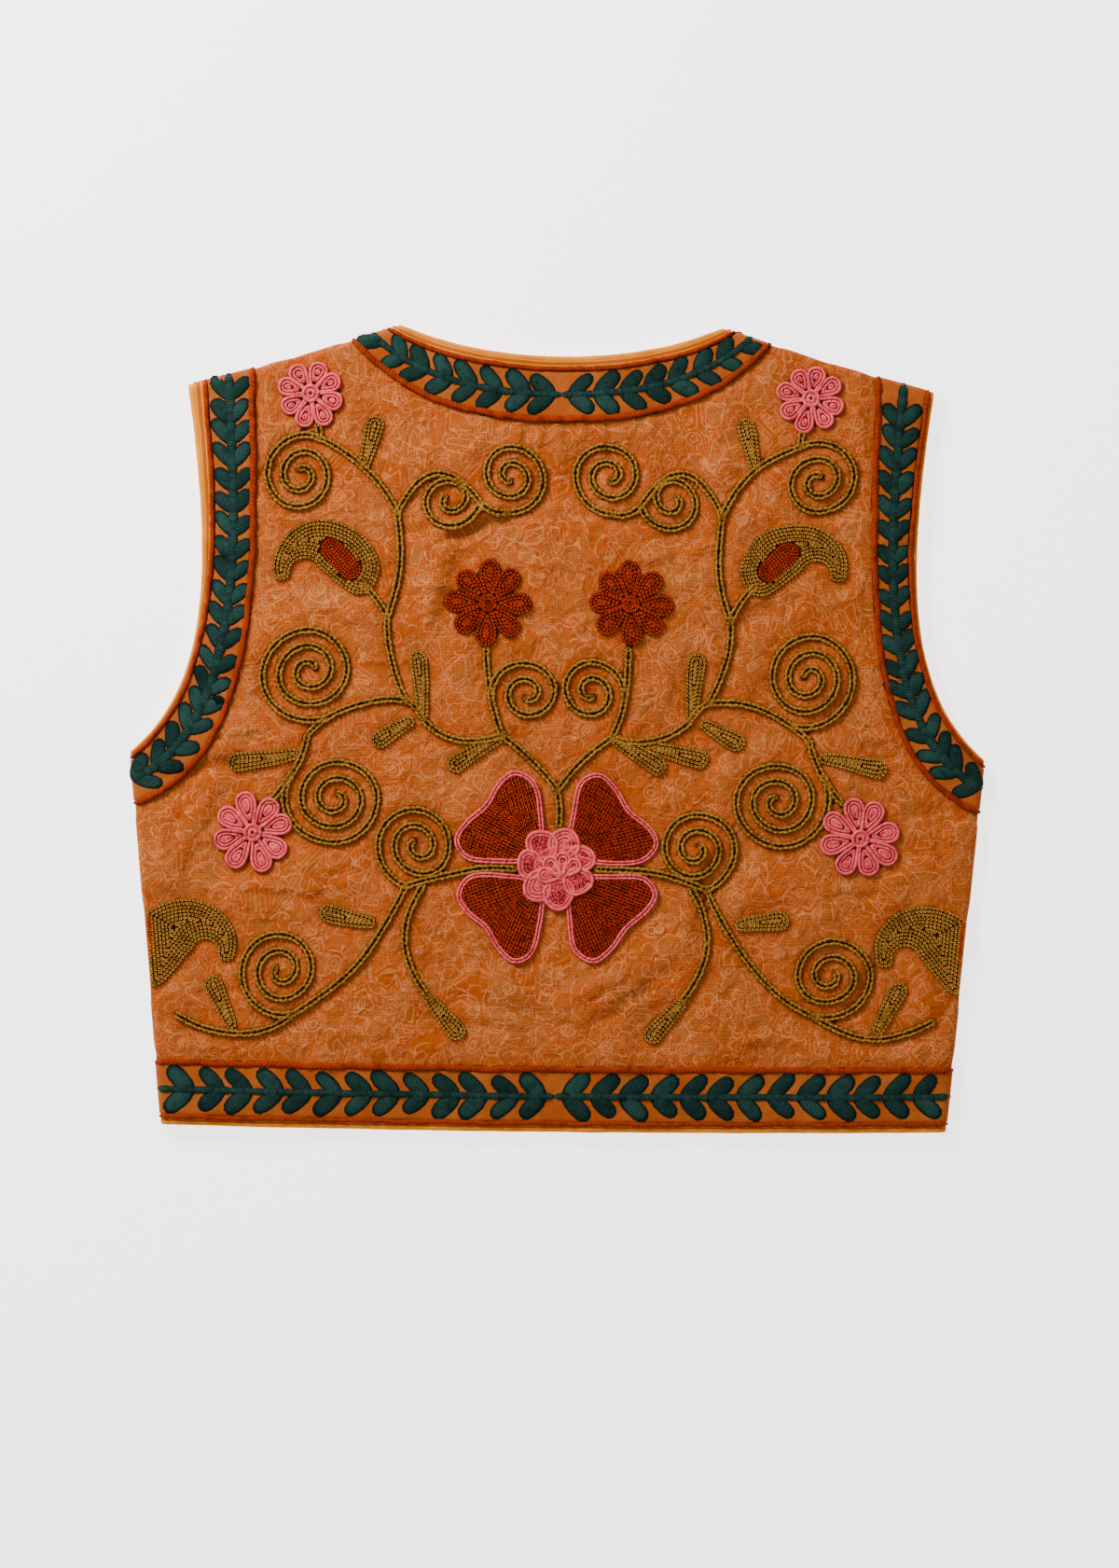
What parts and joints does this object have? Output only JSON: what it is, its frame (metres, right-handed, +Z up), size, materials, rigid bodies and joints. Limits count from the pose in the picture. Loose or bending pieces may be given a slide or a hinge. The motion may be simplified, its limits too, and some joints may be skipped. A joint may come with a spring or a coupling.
{
  "type": "embroidered waistcoat",
  "caption": "Cropped sleeveless waistcoat in orange print cloth with chain-stitch flowers and leaf-pattern borders, laid flat with its back up.",
  "frame": {"origin": "middle of the garment's outline, on the surface it lies on", "axes": "+X across the garment to the wearer's right, +Y towards the neck, +Z up, out of the back"},
  "size_m": [0.4816, 0.4518, 0.0085],
  "materials": {
    "print_cloth": "matte",
    "band_cloth": "matte",
    "rust_cord": "matte",
    "lining": "satin",
    "teal_thread": "satin",
    "olive_thread": "satin",
    "rust_thread": "satin",
    "pink_thread": "satin"
  },
  "bodies": {
    "root": {"back_hem_band": "band_cloth", "back_hem_inner_cord": "rust_cord", "back_hem_lining_edge": "lining", "back_hem_outer_cord": "rust_cord", "back_left_armhole_band": "band_cloth", "back_left_armhole_inner_cord": "rust_cord", "back_left_armhole_lining_edge": "lining", "back_left_armhole_outer_cord": "rust_cord", "back_neck_band": "band_cloth", "back_neck_inner_cord": "rust_cord", "back_neck_lining_edge": "lining", "back_neck_outer_cord": "rust_cord", "back_panel": "print_cloth", "back_right_armhole_band": "band_cloth", "back_right_armhole_inner_cord": "rust_cord", "back_right_armhole_lining_edge": "lining", "back_right_armhole_outer_cord": "rust_cord", "front_left_armhole_band": "band_cloth", "front_left_armhole_inner_cord": "rust_cord", "front_left_armhole_lining_edge": "lining", "front_left_armhole_outer_cord": "rust_cord", "front_left_edge_band": "band_cloth", "front_left_edge_inner_cord": "rust_cord", "front_left_edge_lining_edge": "lining", "front_left_edge_outer_cord": "rust_cord", "front_left_hem_band": "band_cloth", "front_left_hem_inner_cord": "rust_cord", "front_left_hem_lining_edge": "lining", "front_left_hem_outer_cord": "rust_cord", "front_left_panel": "print_cloth", "front_right_armhole_band": "band_cloth", "front_right_armhole_inner_cord": "rust_cord", "front_right_armhole_lining_edge": "lining", "front_right_armhole_outer_cord": "rust_cord", "front_right_edge_band": "band_cloth", "front_right_edge_inner_cord": "rust_cord", "front_right_edge_lining_edge": "lining", "front_right_edge_outer_cord": "rust_cord", "front_right_hem_band": "band_cloth", "front_right_hem_inner_cord": "rust_cord", "front_right_hem_lining_edge": "lining", "front_right_hem_outer_cord": "rust_cord", "front_right_panel": "print_cloth"}
  },
  "joints": []
}
